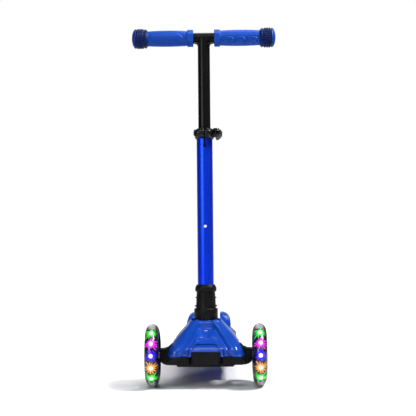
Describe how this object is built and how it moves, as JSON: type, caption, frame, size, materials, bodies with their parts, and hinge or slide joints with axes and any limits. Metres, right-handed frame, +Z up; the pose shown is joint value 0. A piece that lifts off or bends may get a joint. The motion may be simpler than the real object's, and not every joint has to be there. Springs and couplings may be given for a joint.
{
  "type": "kick scooter",
  "caption": "Small three-wheeled lean-to-steer kick scooter with a telescoping T-bar, moulded nose and deck, lit front wheels and a rear foot brake.",
  "frame": {"origin": "on the ground, at the middle of the scooter's width and length", "axes": "+Z up; the scooter faces -Y; +X is the rider's left, along the handlebar"},
  "size_m": [0.296, 0.5434, 0.7266],
  "materials": {
    "shell_blue": "high gloss moulded plastic",
    "deck_blue": "satin moulded plastic",
    "core_blue": "deep blue moulded plastic",
    "tube_blue": "blue anodised",
    "black_plastic": "satin black moulded plastic",
    "black_paint": "gloss black powder coat",
    "black_gloss": "gloss black nylon",
    "grip_blue": "satin rubber",
    "black_rubber": "matt rubber",
    "smoke_tyre": "smoked translucent urethane",
    "lamp": "clear lamp resin",
    "bright_steel": "zinc plated",
    "cast_grey": "die cast, tumbled"
  },
  "bodies": {
    "deck": {"deck_board": "deck_blue", "deck_tread": "black_rubber", "chassis_plate": "black_paint", "chassis_screws": "bright_steel", "axle_beam": "black_plastic", "front_bumper": "black_plastic", "head_bracket": "black_paint", "lean_pin": "bright_steel", "bump_stops": "black_rubber", "kingpins": "bright_steel", "nose_shell": "shell_blue", "nose_flap": "shell_blue", "tail_guards": "shell_blue", "rear_axle": "bright_steel", "rear_axle_nut": "bright_steel", "brake_pin": "bright_steel", "brake_spring": "bright_steel"},
    "column": {"pivot_block": "cast_grey", "lean_bush": "black_rubber", "collar": "black_plastic", "stem_tube": "tube_blue", "tube_bush": "black_plastic", "clamp_ring": "black_gloss", "clamp_bolt": "bright_steel", "clamp_nut": "black_gloss", "snap_spring": "bright_steel"},
    "clamp_lever": {"clamp_lever": "black_gloss"},
    "snap_button": {"snap_button": "black_plastic"},
    "handlebar": {"inner_tube": "black_paint", "crossbar": "black_paint", "guide_bush": "black_plastic", "grip_left": "grip_blue", "grip_right": "grip_blue"},
    "tie_rod": {"tie_rod": "black_gloss"},
    "steering_left": {"knuckle_left": "cast_grey", "axle_left": "bright_steel"},
    "steering_right": {"knuckle_right": "cast_grey", "axle_right": "bright_steel"},
    "wheel_left": {"tyre_left": "smoke_tyre", "core_left": "core_blue", "leds_left": "lamp", "bearings_left": "bright_steel", "spacer_left": "bright_steel"},
    "wheel_right": {"tyre_right": "smoke_tyre", "core_right": "core_blue", "leds_right": "lamp", "bearings_right": "bright_steel", "spacer_right": "bright_steel"},
    "wheel_rear": {"tyre_rear": "smoke_tyre", "core_rear": "core_blue", "bearings_rear": "bright_steel", "spacer_rear": "bright_steel"},
    "brake_pedal": {"brake_pedal": "shell_blue"}
  },
  "joints": [
    {"name": "lean", "type": "hinge", "parent": "deck", "child": "column", "pos_m": [0, -0.17921, 0.104], "axis": [0, 1, 0], "range_deg": [-9, 9], "stiffness_Nm_per_rad": 30},
    {"name": "bar_height", "type": "slide", "parent": "column", "child": "handlebar", "axis": [0, 0.0523, 0.9986], "range_m": [-0.15, 0.04]},
    {"name": "clamp_swing", "type": "hinge", "parent": "column", "child": "clamp_lever", "pos_m": [0.024, -0.17903, 0.50865], "axis": [0, -0.0523, -0.9986], "range_deg": [0, 150]},
    {"name": "button_press", "type": "slide", "parent": "column", "child": "snap_button", "axis": [0, -0.9986, 0.0523], "range_m": [0, 0.004], "stiffness_N_per_m": 400, "springref_m": -0.003, "deforming": ["snap_spring"]},
    {"name": "tie_slide", "type": "slide", "parent": "deck", "child": "tie_rod", "axis": [1, 0, 0], "range_m": [-0.0061, 0.0061]},
    {"name": "steer_left", "type": "hinge", "parent": "deck", "child": "steering_left", "pos_m": [0.076, -0.20921, 0.0625], "axis": [0, 0, 1], "range_deg": [-11, 11]},
    {"name": "steer_right", "type": "hinge", "parent": "deck", "child": "steering_right", "pos_m": [-0.076, -0.20921, 0.0625], "axis": [0, 0, 1], "range_deg": [-11, 11]},
    {"name": "spin_left", "type": "hinge", "parent": "steering_left", "child": "wheel_left", "pos_m": [0.107, -0.20921, 0.0625], "axis": [1, 0, 0], "continuous": true},
    {"name": "spin_right", "type": "hinge", "parent": "steering_right", "child": "wheel_right", "pos_m": [-0.107, -0.20921, 0.0625], "axis": [1, 0, 0], "continuous": true},
    {"name": "spin_rear", "type": "hinge", "parent": "deck", "child": "wheel_rear", "pos_m": [0, 0.22579, 0.04], "axis": [1, 0, 0], "continuous": true},
    {"name": "brake", "type": "hinge", "parent": "deck", "child": "brake_pedal", "pos_m": [0, 0.16579, 0.082], "axis": [-1, 0, 0], "range_deg": [0, 5], "stiffness_Nm_per_rad": 2, "springref_deg": -5.73, "deforming": ["brake_spring"]}
  ],
  "couplings": [
    {"joint": "steer_left", "follows": "lean", "ratio": 1.1875},
    {"joint": "steer_right", "follows": "lean", "ratio": 1.1875},
    {"joint": "tie_slide", "follows": "lean", "m_per_rad": -0.038}
  ]
}
